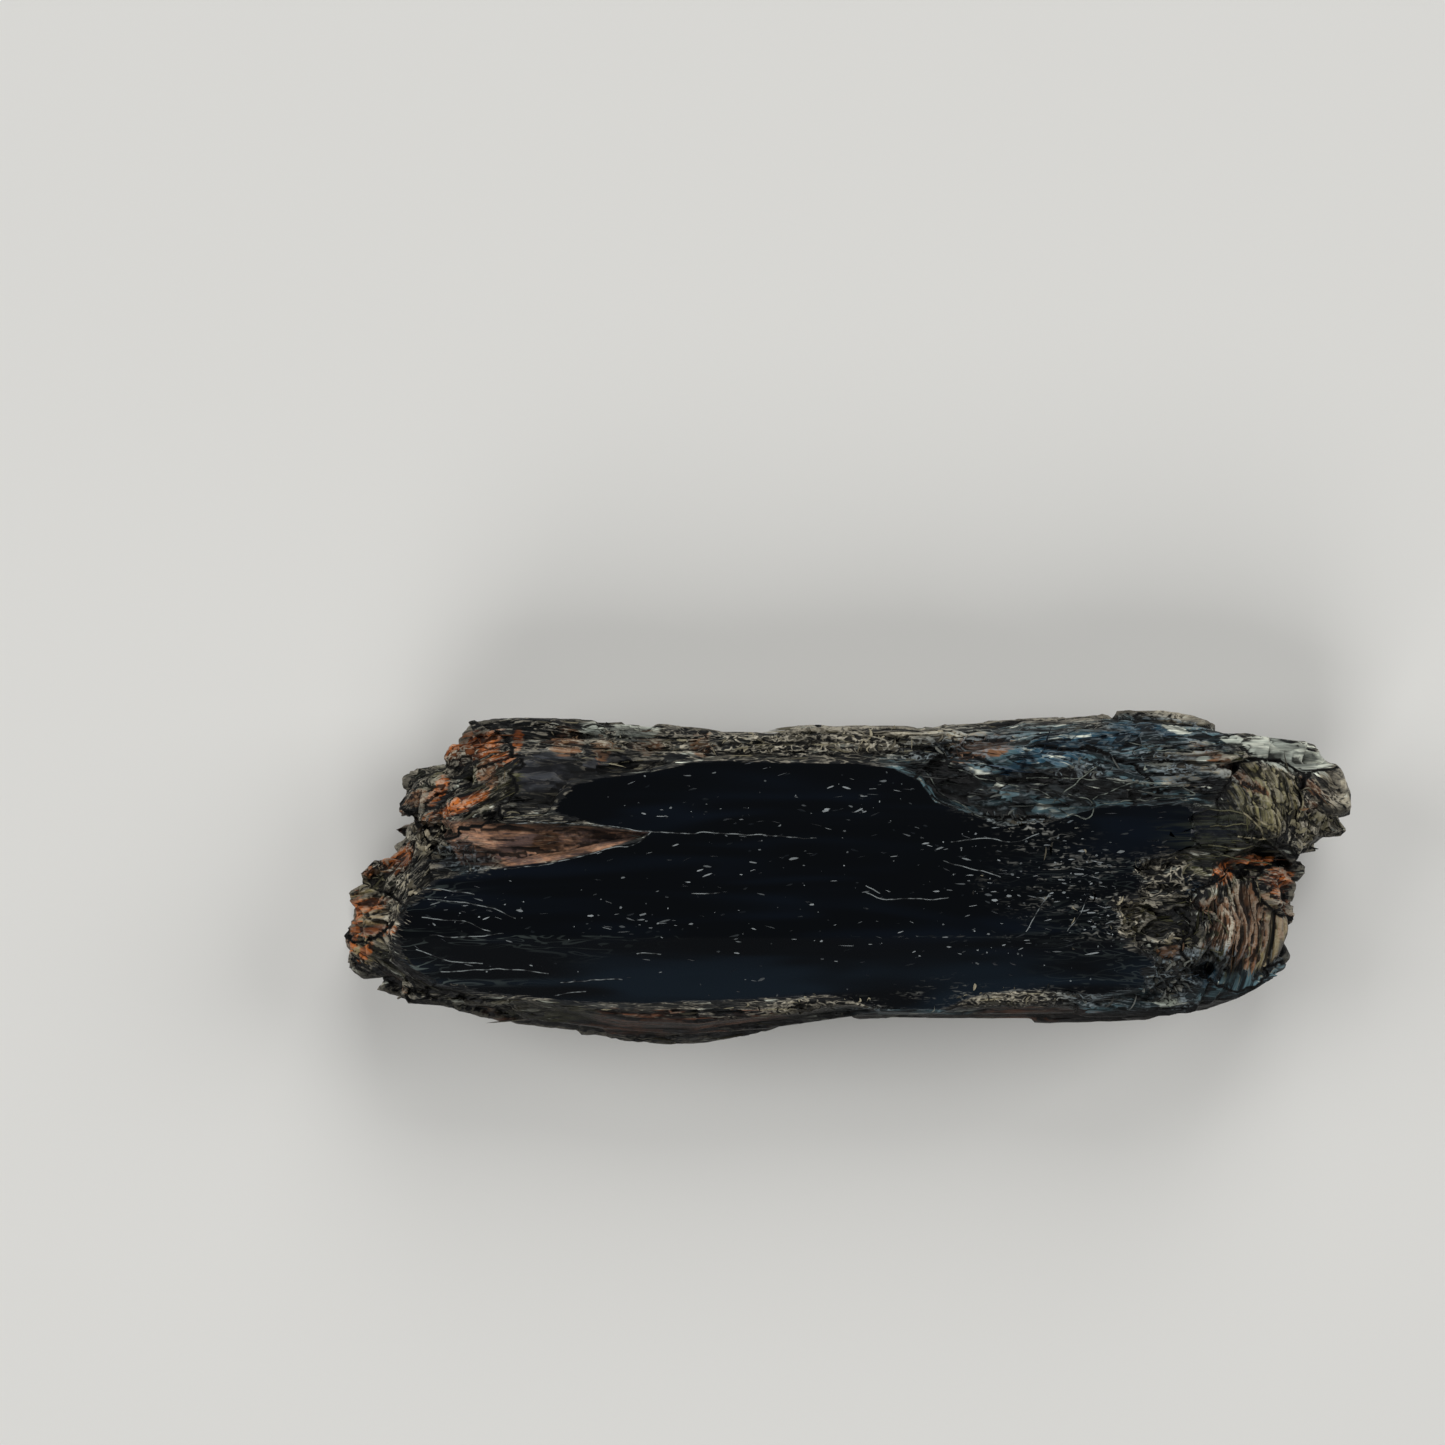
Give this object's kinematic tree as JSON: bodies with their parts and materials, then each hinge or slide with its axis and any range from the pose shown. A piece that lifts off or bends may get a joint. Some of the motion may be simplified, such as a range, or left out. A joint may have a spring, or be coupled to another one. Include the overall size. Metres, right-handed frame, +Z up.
{
  "type": "kyanite seer stone",
  "caption": "Long dark bladed crystal stone with one flat polished window on top and rough, splintery edges and ends.",
  "frame": {"origin": "middle of the stone's extents in X and Y, at the flat face that it rests on", "axes": "+X along the stone's length and its blades, towards its two-lobed end; +Y towards its rough back edge; +Z up, out of the polished window"},
  "size_m": [0.0843, 0.0282, 0.015],
  "materials": {
    "kyanite": "polished on the window, rough and satin elsewhere"
  },
  "bodies": {
    "root": {"kyanite_stone": "kyanite"}
  },
  "joints": []
}
